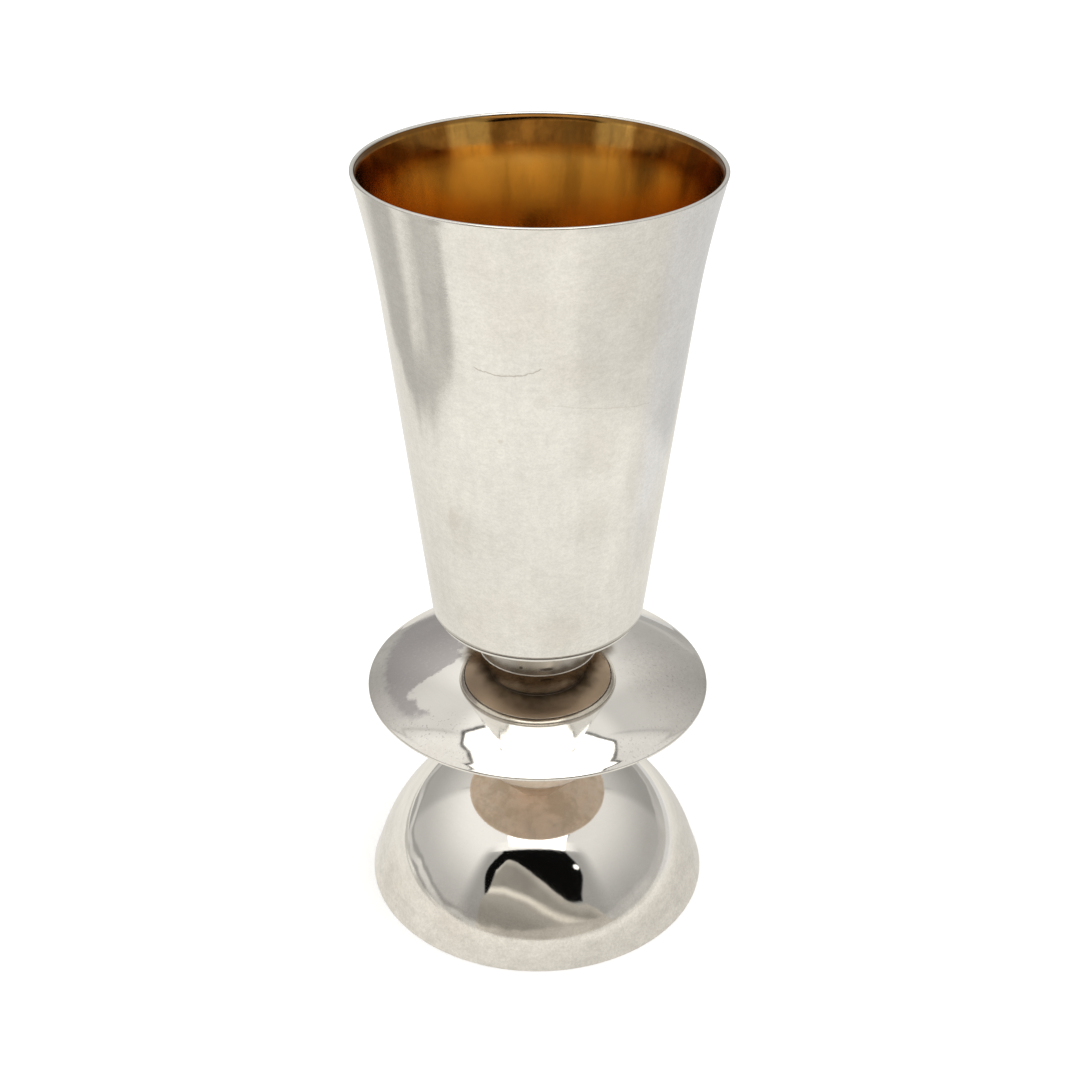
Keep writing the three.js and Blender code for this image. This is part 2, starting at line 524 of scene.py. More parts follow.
def turning_tree():
    """Profile in, turned piece out. Every input is named for what it changes."""
    tree = bpy.data.node_groups.new("Turn a profile", "GeometryNodeTree")
    tree.is_modifier = True
    for name, kind in (
        ("Profile", "NodeSocketGeometry"),
        ("Segments", "NodeSocketInt"),
        ("Unevenness", "NodeSocketFloat"),
        ("Wave Length", "NodeSocketFloat"),
        ("Outside", "NodeSocketMaterial"),
        ("Inside", "NodeSocketMaterial"),
    ):
        tree.interface.new_socket(name, in_out="INPUT", socket_type=kind)
    tree.interface.new_socket("Piece", in_out="OUTPUT", socket_type="NodeSocketGeometry")
    t = Tree(tree)
    given = t.add("NodeGroupInput").outputs
    count = t.add("GeometryNodeAttributeDomainSize", {0: given["Profile"]}).outputs["Point Count"]
    around = t.math("ADD", given["Segments"], 1)
    grid = t.add(
        "GeometryNodeMeshGrid",
        {"Size X": 1.0, "Size Y": 1.0, "Vertices X": count, "Vertices Y": around},
    ).outputs["Mesh"]
    place = t.add("GeometryNodeInputPosition").outputs[0]
    across, up, _ = t.parts(place)
    last = t.math("SUBTRACT", count, 1)
    point = t.math("ROUND", t.product(t.math("ADD", across, 0.5), last))
    angle = t.product(t.math("ADD", up, 0.5), 2 * math.pi)

    def from_profile(value, kind):
        inputs = {"Geometry": given["Profile"], "Value": value, "Index": point}
        node = t.add("GeometryNodeSampleIndex", inputs, data_type=kind, domain="POINT")
        return node.outputs["Value"]

    shape = grid
    for name in ("along", "inside"):
        read = t.add("GeometryNodeInputNamedAttribute", {"Name": name}, data_type="FLOAT")
        value = from_profile(read.outputs["Attribute"], "FLOAT")
        inputs = {"Geometry": shape, "Name": name, "Value": value}
        store = "GeometryNodeStoreNamedAttribute"
        shape = t.add(store, inputs, data_type="FLOAT", domain="POINT").outputs["Geometry"]
    own = t.add("GeometryNodeInputPosition").outputs[0]
    radius, _, height = t.parts(from_profile(own, "FLOAT_VECTOR"))
    x, y = (t.product(radius, t.math(wave, angle)) for wave in ("COSINE", "SINE"))
    turned = t.add("ShaderNodeCombineXYZ", {"X": x, "Y": y, "Z": height}).outputs[0]
    moved = t.add("GeometryNodeSetPosition", {"Geometry": shape, "Position": turned}).outputs[0]
    merged = {"Geometry": moved, "Distance": SEAM_GAP}
    closed = t.add("GeometryNodeMergeByDistance", merged).outputs[0]
    closed = t.add("GeometryNodeFlipFaces", {"Mesh": closed}).outputs[0]
    own = t.add("GeometryNodeInputPosition").outputs[0]
    fineness = t.math("DIVIDE", 1.0, given["Wave Length"])
    waves = {"Vector": own, "Scale": fineness, "Detail": 1.0, "Roughness": 0.4}
    waves = t.add("ShaderNodeTexNoise", waves).outputs["Fac"]
    depth = t.product(waves, given["Unevenness"], -1.0)
    inward = t.scaled(depth, t.add("GeometryNodeInputNormal").outputs[0])
    worked = t.add("GeometryNodeSetPosition", {"Geometry": closed, "Offset": inward})
    smooth = t.add("GeometryNodeSetShadeSmooth", {"Geometry": worked.outputs[0]})
    real = t.add("GeometryNodeRealizeInstances", {"Geometry": smooth.outputs[0]})
    outside = {"Geometry": real.outputs[0], "Material": given["Outside"]}
    outside = t.add("GeometryNodeSetMaterial", outside).outputs[0]
    marked = t.add("GeometryNodeInputNamedAttribute", {"Name": "inside"}, data_type="FLOAT")
    inside = t.math("GREATER_THAN", marked.outputs["Attribute"], 0.99)
    lined = {"Geometry": outside, "Material": given["Inside"], "Selection": inside}
    t.add("NodeGroupOutput", {"Piece": t.add("GeometryNodeSetMaterial", lined).outputs[0]})
    return tree


def turned_piece(name, profile, inside, outside_finish, inside_finish=None, wave=16 * MM):
    """Spins a profile into a closed piece. inside holds the first and last inside point."""
    finish = bpy.context.scene.cup_finish
    section = bpy.data.meshes.new(name + "_section")
    section.from_pydata([(r, 0.0, h) for r, h in profile], [], [])
    along = section.attributes.new("along", "FLOAT", "POINT")
    within = section.attributes.new("inside", "FLOAT", "POINT")
    travelled = 0.0
    for i, at in enumerate(profile):
        travelled += math.dist(at, profile[i - 1]) if i else 0.0
        along.data[i].value = travelled / MM
        within.data[i].value = 1.0 if inside[0] <= i <= inside[1] else 0.0
    holder = bpy.data.objects.new(name + "_section", section)
    bpy.context.scene.collection.objects.link(holder)
    tree = bpy.data.node_groups.get("Turn a profile") or turning_tree()
    modifier = holder.modifiers.new("Turn", "NODES")
    modifier.node_group = tree
    named = {s.name: s.identifier for s in tree.interface.items_tree if s.in_out == "INPUT"}
    modifier[named["Segments"]] = finish.segments
    modifier[named["Unevenness"]] = finish.unevenness
    modifier[named["Wave Length"]] = wave
    modifier[named["Outside"]] = outside_finish
    modifier[named["Inside"]] = inside_finish or outside_finish
    evaluated = holder.evaluated_get(bpy.context.evaluated_depsgraph_get())
    mesh = bpy.data.meshes.new_from_object(evaluated)
    mesh.name = name
    holder.modifiers.clear()
    bpy.data.objects.remove(holder)
    piece = bpy.data.objects.new(name, mesh)
    bpy.context.scene.collection.objects.link(piece)
    return piece


def settle(piece, node):
    """Fastens a finished piece in the frame, in place of its node."""
    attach(piece, BODY)
    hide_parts(node)


# --------------------------------------------------------------------------------------------
# Finishes


class SilverNodes(Tree):
    """Node tree of one metal finish, with its places in millimetres."""

    def __init__(self, name):
        self.material = bpy.data.materials.new(name)
        self.material.use_nodes = True
        super().__init__(self.material.node_tree)
        self.shader = self.tree.nodes["Principled BSDF"]
        self.shader.inputs["Metallic"].default_value = 1.0
        place = self.add("ShaderNodeTexCoord").outputs["Object"]
        self.place = self.vector("MULTIPLY", place, (1000.0,) * 3)
        self.x, self.y, self.z = self.parts(self.place)
        self.along = self.add("ShaderNodeAttribute", attribute_name="along").outputs["Fac"]
        place = {"X": self.x, "Y": self.y, "Z": self.along}
        self.turn = self.add("ShaderNodeCombineXYZ", place).outputs[0]
        self.bumps = []

    def noise(self, vector, stretch, detail=3.0, rough=0.5, shift=0.0):
        """Noise with one frequency, or one along each direction, in cycles a millimetre."""
        stretch = (stretch,) * 3 if isinstance(stretch, float) else stretch
        placed = self.vector("MULTIPLY", vector, stretch)
        inputs = {"Vector": placed, "W": shift, "Scale": 1.0, "Detail": detail, "Roughness": rough}
        return self.add("ShaderNodeTexNoise", inputs, noise_dimensions="4D").outputs["Fac"]

    def bump(self, height, depth, strength=1.0):
        """Adds a relief of that depth in millimetres."""
        self.bumps.append((height, depth, strength))

    def done(self, colour, roughness):
        self.put(self.shader.inputs["Base Color"], colour)
        self.put(self.shader.inputs["Roughness"], roughness)
        previous = {}
        for height, depth, strength in self.bumps:
            inputs = {"Height": height, "Distance": depth * MM, "Strength": strength, **previous}
            previous = {"Normal": self.add("ShaderNodeBump", inputs).outputs["Normal"]}
        if previous:
            self.put(self.shader.inputs["Normal"], previous["Normal"])
        return self.material

    def grey(self, value):
        """The same value in all three channels."""
        return self.add("ShaderNodeCombineXYZ", {0: value, 1: value, 2: value}).outputs[0]


TARNISH = (0.52, 0.42, 0.32)
VIOLET_TARNISH = (0.51, 0.475, 0.47)
PINK_TARNISH = (0.85, 0.68, 0.55)


def turned_lines(metal, strength):
    """Fine lines left by turning and polishing, which run round the piece."""
    fine = metal.noise(metal.turn, (0.05, 0.05, 9.0), 4.0, 0.6)
    broad = metal.noise(metal.turn, (0.02, 0.02, 1.3), 3.0, 0.5, 4.0)
    metal.bump(fine, 0.0010, strength)
    metal.bump(broad, 0.003, strength)
    return fine, broad


def hairlines(metal, u, v, angle, spacing, shift):
    """Sparse straight hairlines in one direction of the surface, as 0 to 1."""
    cosine, sine = math.cos(angle), math.sin(angle)
    along = metal.math("ADD", metal.product(u, cosine), metal.product(v, sine))
    across = metal.math("SUBTRACT", metal.product(v, cosine), metal.product(u, sine))
    lane = metal.add("ShaderNodeCombineXYZ", {"X": along, "Y": across, "Z": shift}).outputs[0]
    lines = metal.noise(lane, (0.12, spacing, 1.0), 2.0, 0.5, shift)
    return metal.between(lines, 0.64, 0.72)


def patch(metal, u, v, centre, size, ragged=0.35, seed=0.0, grain=0.35):
    """An irregular soft patch on the surface: 1 in its middle, 0 outside it."""
    across = metal.math("DIVIDE", metal.math("SUBTRACT", u, centre[0]), size[0])
    up = metal.math("DIVIDE", metal.math("SUBTRACT", v, centre[1]), size[1])
    reach = metal.hypot(across, up)
    edge = metal.noise(metal.place, grain, 5.0, 0.7, seed)
    uneven = metal.stray(reach, edge, 2 * ragged)
    return metal.between(uneven, 1.05, 0.30)


def silver(name, tarnish, tone=TARNISH, rough=0.06, lines=0.5, clouds=0.035, cloud_low=0.45):
    """Worn silver: mottled colour, thin tarnish, turned lines and uneven polish."""
    clean = tuple(bpy.context.scene.cup_finish.silver)
    metal = SilverNodes(name)
    fine, broad = turned_lines(metal, lines)
    mottle = metal.noise(metal.place, 0.16, 5.0, 0.62, 1.0)
    cloud = metal.noise(metal.place, clouds, 6.0, 0.6, 2.0)
    veil = metal.between(cloud, cloud_low, 0.8)
    amount = metal.math("MULTIPLY_ADD", veil, (1.0 - tarnish) * 0.35, tarnish, clamp=True)
    amount = metal.product(amount, metal.between(mottle, 0.2, 0.7, 0.55, 1.0))
    colour = metal.blend(amount, clean, tone)
    grime = metal.between(metal.product(fine, broad), 0.18, 0.34, 1.0 - 0.06 * lines, 1.0)
    colour = metal.blend(1.0, colour, metal.grey(grime), "MULTIPLY")
    worn = metal.between(mottle, 0.35, 0.75, rough, rough * 1.8)
    worn = metal.math("MULTIPLY_ADD", veil, 0.06, worn)
    metal.bump(mottle, 0.004, 0.5)
    return metal, colour, worn


def scratch(metal, u, v, start, end, width, seed, sag=0.0):
    """One thin wandering scratch between two places (side, height), as 0 to 1."""
    share = metal.between(u, start[0], end[0], smooth=False)
    path = metal.math("MULTIPLY_ADD", share, end[1] - start[1], start[1])
    dip = metal.product(share, metal.math("SUBTRACT", 1.0, share), 4.0 * sag)
    path = metal.math("SUBTRACT", path, dip)
    wander = metal.noise(metal.place, 0.22, 4.0, 0.7, seed)
    path = metal.stray(path, wander, 1.6)
    off = metal.math("ABSOLUTE", metal.math("SUBTRACT", v, path))
    line = metal.between(off, width, width * 0.3)
    broken = metal.between(metal.noise(metal.place, 0.9, 3.0, 0.6, seed + 1), 0.33, 0.45)
    ends = metal.product(metal.rises(u, start[0], 0.4), metal.falls(u, end[0], 0.4))
    return metal.product(line, broken, ends)


# Marks on the front of the wall. Places are in millimetres: sideways along it, and height.
# Rubbed places: middle, half sizes, lean of their hairlines in degrees, fineness, two seeds
RUBS = (
    ((13.0, 89.0), (8.0, 11.0), 48, 3.2, 3.0, 5.0),
    ((10.0, 110.5), (13.0, 6.0), -4, 2.6, 7.0, 6.0),
    ((-17.0, 85.0), (3.5, 6.0), 30, 2.2, 9.0, 6.0),
    ((12.0, 124.0), (9.0, 8.0), 2, 3.4, 11.0, 6.5),
    ((14.0, 103.0), (7.0, 7.0), -58, 2.6, 13.0, 7.5),
)
# Stains: middle, half sizes, raggedness, seed, fineness, strength
STAINS = (
    ((-17.0, 85.3), (2.2, 3.2), 0.9, 8.0, 1.3, 1.0),
    ((-6.2, 103.1), (0.6, 0.5), 0.5, 14.0, 1.5, 1.0),
    ((18.2, 126.0), (1.0, 0.6), 0.8, 14.5, 1.6, 1.0),
    ((10.0, 101.0), (5.5, 7.0), 0.9, 9.0, 1.3, 0.55),
    ((10.5, 87.0), (5.0, 6.0), 1.0, 9.5, 1.4, 0.50),
    ((19.0, 94.0), (3.5, 9.0), 0.9, 16.0, 1.2, 0.55),
    ((18.5, 123.0), (5.0, 9.0), 0.9, 17.0, 1.3, 0.50),
    ((-16.0, 83.0), (4.0, 7.0), 1.0, 18.0, 1.3, 0.45),
    ((0.4, 110.7), (2.0, 1.6), 0.9, 10.0, 1.2, 0.45),
    ((4.0, 65.0), (8.0, 5.0), 0.7, 11.0, 0.6, 0.35),
)
# Scratches: start, end, half width, seed, sag, strength
SCRATCHES = (
    ((-9.9, 116.0), (0.5, 116.4), 0.17, 41.0, 1.1, 1.0),
    ((1.9, 110.2), (20.0, 106.8), 0.13, 43.0, 0.0, 0.35),
)
WALL_TARNISH = (0.62, 0.55, 0.43)
RUBBED_SILVER = (0.56, 0.52, 0.46)
SCRATCHED_SILVER = (0.30, 0.25, 0.21)
STAINED_SILVER = (0.48, 0.44, 0.375)
# Painted shade on the turn of the bowl's wall
PAINTED_CORNER_SHADE = (0.36, 0.33, 0.29)


def wall_finish():
    """Outside of the bowl: bright, softly worn, with the marks of use at the front."""
    metal, colour, rough = silver("bowl_silver", 0.03, WALL_TARNISH, rough=0.085, lines=0.10)
    turn_round = metal.math("ARCTAN2", metal.x, metal.product(metal.y, -1.0))
    u, v = metal.product(turn_round, 25.0), metal.z

    # Polishing haze: tall soft streaks, small mottling and a grain that catches the light
    streaks = metal.noise(metal.place, (0.30, 0.30, 0.02), 4.0, 0.6, 30.0)
    haze = metal.noise(metal.place, (0.10, 0.10, 0.08), 6.0, 0.72, 31.0)
    worn = metal.noise(metal.place, (0.55, 0.55, 1.0), 6.0, 0.75, 35.0)
    grain = metal.noise(metal.place, 2.6, 4.0, 0.7, 32.0)
    shade = metal.product(
        metal.between(streaks, 0.3, 0.7, 0.965, 1.0),
        metal.between(haze, 0.34, 0.66, 0.935, 1.0),
        metal.between(worn, 0.36, 0.64, 0.925, 1.0),
        metal.between(grain, 0.34, 0.66, 0.90, 1.0),
    )
    colour = metal.blend(1.0, colour, metal.grey(shade), "MULTIPLY")
    metal.bump(grain, 0.0045, 0.8)
    metal.bump(worn, 0.006, 0.6)

    rubs = [metal.product(hairlines(metal, u, v, math.radians(7), 1.9, 15.0), 0.35)]
    for middle, size, lean, fineness, lines_seed, edge_seed in RUBS:
        lines = hairlines(metal, u, v, math.radians(lean), fineness, lines_seed)
        rubs.append(metal.product(lines, patch(metal, u, v, middle, size, 0.5, edge_seed)))
    colour = metal.blend(metal.product(metal.most(*rubs), 0.42), colour, RUBBED_SILVER)
    cuts = [
        metal.product(scratch(metal, u, v, start, end, width, seed, sag), strength)
        for start, end, width, seed, sag, strength in SCRATCHES
    ]
    colour = metal.blend(metal.product(metal.most(*cuts), 0.48), colour, SCRATCHED_SILVER)
    stains = [
        metal.product(patch(metal, u, v, middle, size, ragged, seed, fineness), strength)
        for middle, size, ragged, seed, fineness, strength in STAINS
    ]
    colour = metal.blend(metal.product(metal.most(*stains), 0.34), colour, STAINED_SILVER)
    colour, brown = wall_corner(metal, colour, u, v)
    rough = metal.math("MULTIPLY_ADD", brown, 0.26, rough)
    return metal.done(colour, rough)


def wall_corner(metal, colour, u, v):
    """Painted shade on the turn of the wall, painted shade over the dark joint below it, the
    solder groove, and the underside's tarnish with painted shade near the drum.
    """
    sizes = bpy.context.scene.cup_bowl
    under = sizes.underside / MM
    heel = (sizes.underside + sizes.step_height) / MM
    groove = (sizes.base_radius - sizes.step_inset - GROOVE_INSET) / MM
    # Painted shade: a grey band on the wall's turn, taller at the sides, where the rounding
    # mirrors dark surroundings
    corner_top = metal.between(metal.math("ABSOLUTE", u), 6.0, 22.0, heel + 0.50, heel + 1.05)
    corner_shade = metal.between(metal.math("SUBTRACT", v, corner_top), 0.0, -0.30)
    corner_shade = metal.product(corner_shade, metal.between(v, heel - 0.1, heel))
    colour = metal.blend(metal.product(corner_shade, 0.60), colour, PAINTED_CORNER_SHADE)
    # Painted shade in the recess under the wall's edge, over the dark solder joint of the band
    recess_shade = metal.product(
        metal.between(v, heel + 0.02, heel - 0.04), metal.between(v, under + 0.4, under + 0.5)
    )
    colour = metal.blend(metal.product(recess_shade, 0.9), colour, (0.07, 0.055, 0.045))
    across = metal.hypot(metal.x, metal.y)
    grooved = metal.product(
        metal.between(v, under + 0.04, under + 0.06),
        metal.between(across, groove + 0.4, groove + 0.3),
        metal.between(v, under + 0.4, under + 0.3),
    )
    colour = metal.blend(grooved, colour, (0.10, 0.075, 0.06))
    flat = metal.product(
        metal.between(v, under + 0.20, under + 0.12),
        metal.between(across, groove - 0.1, groove - 0.3),
    )
    # The underside's brown tarnish, lighter outwards; its darkening towards the drum is painted
    # shade of the drum
    ragged = metal.noise(metal.place, 0.13, 3.0, 0.55, 33.0)
    out_of_drum_shade = metal.between(metal.stray(across, ragged, 9.0), 10.5, 15.5)
    brown = metal.blend(out_of_drum_shade, (0.10, 0.07, 0.04), (0.62, 0.49, 0.375))
    return metal.blend(flat, colour, brown), flat


RED_GILDING = (0.68, 0.39, 0.108)
BROWN_GILDING = (0.48, 0.28, 0.09)
PALE_GILDING = (0.94, 0.62, 0.21)
# Painted reflections of two lights in the gilt band under the lip
REFLECTED_LIGHT_GILDING = (0.95, 0.53, 0.13)
BAND_GILDING = (0.31, 0.130, 0.022), (0.46, 0.20, 0.036)
FRONT_BAND_GILDING = (0.90, 0.60, 0.20)
RUN_GILDING = (0.24, 0.135, 0.04)
LIP_GILDING = (0.13, 0.06, 0.016)
STRIPE_PLACE = 13.0


def gilding_finish():
    """Inside of the bowl: mottled gilding, streaked and redder towards the lip, with painted
    reflections of two lights under the lip.
    """
    gold = tuple(bpy.context.scene.cup_finish.gilding)
    lip = bpy.context.scene.cup_bowl.rim_height / MM
    metal = SilverNodes("bowl_gilding")
    turned_lines(metal, 1.0)
    u = metal.product(metal.math("ARCTAN2", metal.x, metal.y), 28.0)
    v = metal.z
    mottle = metal.noise(metal.place, (0.22, 0.22, 0.12), 6.0, 0.65, 3.0)
    cloud = metal.noise(metal.place, (0.06, 0.06, 0.05), 4.0, 0.6, 6.0)
    colour = metal.blend(metal.between(cloud, 0.35, 0.7, 0.0, 0.6), gold, RED_GILDING)
    colour = metal.blend(metal.between(mottle, 0.5, 0.8, 0.0, 0.5), colour, BROWN_GILDING)

    # The band under the lip: two pale stripes at the back, painted reflections of two lights,
    # between darker, mottled gilding
    blotch = metal.noise(metal.place, (0.35, 0.35, 0.22), 6.0, 0.7, 9.0)
    runs = metal.noise(metal.place, (0.20, 0.20, 0.012), 5.0, 0.6, 8.0)
    drift = metal.stray(u, runs, 6.0)
    left = metal.math("ABSOLUTE", metal.math("ADD", drift, STRIPE_PLACE))
    right = metal.math("ABSOLUTE", metal.math("SUBTRACT", drift, STRIPE_PLACE))
    # Painted reflections: the two stripes of mirrored light, broken up by the blotches
    worn = metal.between(metal.math("MINIMUM", left, right), 4.4, 2.2)
    worn = metal.product(worn, metal.between(blotch, 0.3, 0.6, 0.6, 1.0))
    band = metal.blend(metal.between(blotch, 0.36, 0.62), *BAND_GILDING)
    band = metal.blend(metal.product(worn, 0.85), band, REFLECTED_LIGHT_GILDING)
    band = metal.blend(metal.between(metal.y, 4.0, -10.0), band, FRONT_BAND_GILDING)
    paler = metal.between(v, lip - 17.2, lip - 10.2, 0.0, 0.35)
    colour = metal.blend(paler, colour, PALE_GILDING)
    colour = metal.blend(metal.between(v, lip - 8.2, lip - 4.7), colour, band)
    high = metal.between(v, lip - 28.2, lip - 2.2, 0.25, 1.0)
    dark = metal.product(metal.between(runs, 0.50, 0.66), high)
    colour = metal.blend(metal.product(dark, 0.38), colour, RUN_GILDING)
    edge = metal.product(metal.between(v, lip - 1.3, lip - 0.7), 0.8)
    colour = metal.blend(edge, colour, LIP_GILDING)
    rough = metal.between(mottle, 0.3, 0.75, 0.12, 0.22)
    metal.bump(mottle, 0.010, 0.8)
    metal.bump(blotch, 0.006, 0.5)
    return metal.done(colour, rough)


def disc_finish():
    """Top of the disc: mirror bright, with a violet tarnish patch, specks and a brown joint."""
    metal, colour, rough = silver("disc_silver", 0.04, rough=0.035, lines=0.16)
    u, v = metal.x, metal.y
    across = metal.hypot(u, v)
    ragged = metal.noise(metal.place, 0.45, 6.0, 0.7, 12.0)
    edge = metal.stray(across, ragged, 4.0)

    # The violet bloom lies at the left, between an inner curve and the rim
    inner_curve = metal.between(v, -11.0, -2.5, 25.0, 13.5)
    past_inner = metal.math("SUBTRACT", metal.stray(across, ragged, 6.0), inner_curve)
    bloom = metal.product(
        metal.between(past_inner, -0.3, 0.9),
        metal.between(edge, 29.3, 27.3, 0.25, 1.0),
        metal.between(u, -8.0, -12.0),
        metal.between(v, 24.0, 14.0),
        metal.between(metal.stray(v, ragged, 6.0), -17.5, -14.5),
    )
    grain = metal.noise(metal.place, 1.6, 4.0, 0.7, 13.0)
    bloom = metal.product(bloom, metal.between(grain, 0.3, 0.5, 0.80, 0.95))
    colour = metal.blend(bloom, colour, VIOLET_TARNISH)

    # Specks below it, at the right and near the rim, which is also duller
    spots = metal.noise(metal.place, 2.1, 2.0, 0.5, 15.0)
    fringe = patch(metal, u, v, (-18.0, -20.0), (7.0, 4.0), 0.4, 18.0)
    right = patch(metal, u, v, (23.0, -4.0), (10.0, 15.0), 0.6, 19.0)
    outer = metal.between(across, 24.0, 28.0, 0.0, 0.6)
    specks = metal.product(metal.between(spots, 0.60, 0.66), metal.most(fringe, right, outer))
    colour = metal.blend(metal.product(specks, 0.40), colour, (0.34, 0.29, 0.31))
    rim = metal.between(edge, 26.5, 30.0, 0.0, 0.7)
    dull = metal.product(metal.most(right, rim), metal.between(grain, 0.35, 0.6, 0.12, 0.30))
    colour = metal.blend(dull, colour, (0.50, 0.46, 0.42))

    # Brown tarnish round the drum, where it is hard to polish
    smear = metal.noise(metal.place, 0.17, 3.0, 0.5, 34.0)
    joint = metal.between(metal.stray(across, smear, 7.0), 15.2, 11.8)
    brown = metal.between(grain, 0.3, 0.6)
    brown = metal.blend(brown, (0.075, 0.052, 0.03), (0.20, 0.145, 0.09))
    colour = metal.blend(metal.product(joint, 0.95), colour, brown)
    hazy = metal.most(bloom, metal.product(right, 0.6))
    rough = metal.math("MULTIPLY_ADD", hazy, 0.07, rough)
    rough = metal.math("MULTIPLY_ADD", joint, 0.10, rough)
    return metal.done(colour, rough)


def foot_finish():
    """Outside of the foot: mirror bright dome, duller and mottled towards the base."""
    metal, colour, rough = silver("foot_silver", 0.04, rough=0.03, lines=0.14)
    u, v = metal.x, metal.y
    scratches = metal.most(
        hairlines(metal, u, v, math.radians(25), 1.8, 21.0),
        hairlines(metal, u, v, math.radians(-40), 2.4, 22.0),
    )
    low = metal.between(metal.z, 15.0, 4.0, 0.12, 1.0)
    colour = metal.blend(metal.product(scratches, low, 0.16), colour, (0.55, 0.50, 0.45))
    mottle = metal.noise(metal.place, (0.30, 0.30, 0.45), 6.0, 0.75, 23.0)
    speckle = metal.noise(metal.place, 1.9, 4.0, 0.7, 24.0)
    shade = metal.product(
        metal.between(mottle, 0.34, 0.64, 0.87, 1.0), metal.between(speckle, 0.34, 0.66, 0.88, 1.0)
    )
    colour = metal.blend(low, colour, metal.blend(1.0, colour, metal.grey(shade), "MULTIPLY"))
    colour = metal.blend(metal.product(low, 0.10), colour, TARNISH)
    metal.bump(mottle, 0.008, 0.5)
    rough = metal.math("MULTIPLY_ADD", low, 0.04, rough)
    return metal.done(colour, rough)


def drum_finish():
    """Outside of the upper drum: silver, stained at its foot, and nearly black under the bowl from
    tarnished solder and painted shade.
    """
    metal, colour, worn = silver("stem_silver", 0.18, TARNISH, 0.10, 0.8, 0.09, 0.3)
    turn_round = metal.math("ARCTAN2", metal.x, metal.product(metal.y, -1.0))
    u, v = metal.product(turn_round, 10.75), metal.z
    stains = metal.most(
        patch(metal, u, v, (1.7, 51.6), (2.0, 0.5), 0.6, 25.0, 1.0),
        patch(metal, u, v, (-3.0, 51.7), (0.7, 0.5), 0.6, 26.0, 1.0),
    )
    # Painted shade under the bowl over the tarnished solder: the drum's top is nearly black
    dark = metal.most(stains, metal.between(v, 56.6, 57.6))
    colour = metal.blend(metal.product(dark, 0.9), colour, (0.10, 0.072, 0.05))
    worn = metal.math("MULTIPLY_ADD", dark, 0.25, worn)
    return metal.done(colour, worn)


def dull_finish(name, tarnish, tone, rough):
    """Hidden or hard to polish silver, left with its tarnish."""
    metal, colour, worn = silver(name, tarnish, tone, rough, 0.8, 0.09, 0.3)
    swirl = metal.noise(metal.place, 0.09, 5.0, 0.7, 27.0)
    swirl = metal.between(swirl, 0.44, 0.60, 0.0, 0.45)
    colour = metal.blend(swirl, colour, (0.52, 0.42, 0.30))
    return metal.done(colour, worn)


# --------------------------------------------------------------------------------------------
# Operators


class CUP_OT_bowl(Operator):
    """Makes the bowl, silver outside and gilt inside"""

    bl_idname = "cup.bowl"
    bl_label = "Bowl"

    def execute(self, context):
        profile, lining = bowl_profile(context.scene.cup_bowl)
        piece = turned_piece(
            "bowl", profile, (lining, len(profile)), wall_finish(), gilding_finish()
        )
        settle(piece, "cup_bowl")
        return {"FINISHED"}


class CUP_OT_drums(Operator):
    """Makes the two plain drums above and below the disc"""

    bl_idname = "cup.drums"
    bl_label = "Drums"

    def execute(self, context):
        stem, foot = context.scene.cup_stem, context.scene.cup_foot
        finish = drum_finish()
        tarnished = dull_finish("stem_tarnished", 0.85, PINK_TARNISH, 0.26)
        upper = drum_profile(stem, lambda r: disc_height(stem, r), lambda r: upper_high.z)
        settle(turned_piece("drum_upper", upper, (-1, -1), finish), "upper_drum")
        lower = drum_profile(
            stem,
            lambda r: foot_outline(foot, r),
            lambda r: disc_height(stem, r, stem.disc_sheet),
        )
        settle(turned_piece("drum_lower", lower, (-1, -1), tarnished), "lower_drum")
        return {"FINISHED"}


class CUP_OT_disc(Operator):
    """Makes the shallow domed disc"""

    bl_idname = "cup.disc"
    bl_label = "Disc"

    def execute(self, context):
        profile, top = disc_profile(context.scene.cup_stem)
        under = dull_finish("disc_underside", 0.85, PINK_TARNISH, 0.34)
        piece = turned_piece("disc", profile, (0, top), disc_finish(), under, 9 * MM)
        settle(piece, "domed_disc")
        return {"FINISHED"}


class CUP_OT_foot(Operator):
    """Makes the hollow domed foot"""

    bl_idname = "cup.foot"
    bl_label = "Foot"

    def execute(self, context):
        profile, outside = foot_profile(context.scene.cup_foot)
        hollow = dull_finish("foot_hollow", 0.5, TARNISH, 0.22)
        piece = turned_piece("foot_dome", profile, (0, outside), foot_finish(), hollow)
        settle(piece, "foot")
        return {"FINISHED"}


def glow(name, build):
    """A card of light that only reflections see. build(tree) gives its colour."""
    material = bpy.data.materials.new(name)
    material.use_nodes = True
    material.node_tree.nodes.clear()
    t = Tree(material.node_tree)
    light = t.add("ShaderNodeEmission", {"Color": build(t)}).outputs[0]
    t.add("ShaderNodeOutputMaterial", {"Surface": light})
    material.cycles.emission_sampling = "NONE"
    return material


def paper():
    """Pale matt paper for the floor."""
    material = bpy.data.materials.new("paper")
    material.use_nodes = True
    shader = material.node_tree.nodes["Principled BSDF"]
    shader.inputs["Base Color"].default_value = (0.97, 0.97, 0.965, 1)
    shader.inputs["Roughness"].default_value = 0.9
    shader.inputs["Specular IOR Level"].default_value = 0.1
    return material


def round_floor(name, radius, material):
    """A flat round sheet a hair under the foot."""
    bpy.ops.mesh.primitive_circle_add(
        vertices=96, radius=radius, fill_type="NGON", location=(0, 0, FLOOR_HEIGHT)
    )
    sheet = bpy.context.object
    sheet.name = name
    sheet.data.materials.append(material)
    return sheet


def only_mirrored(thing):
    """Hides a stage object from everything but reflections."""
    thing.visible_camera = False
    thing.visible_diffuse = False
    thing.visible_transmission = False
    thing.visible_volume_scatter = False
    thing.visible_shadow = False


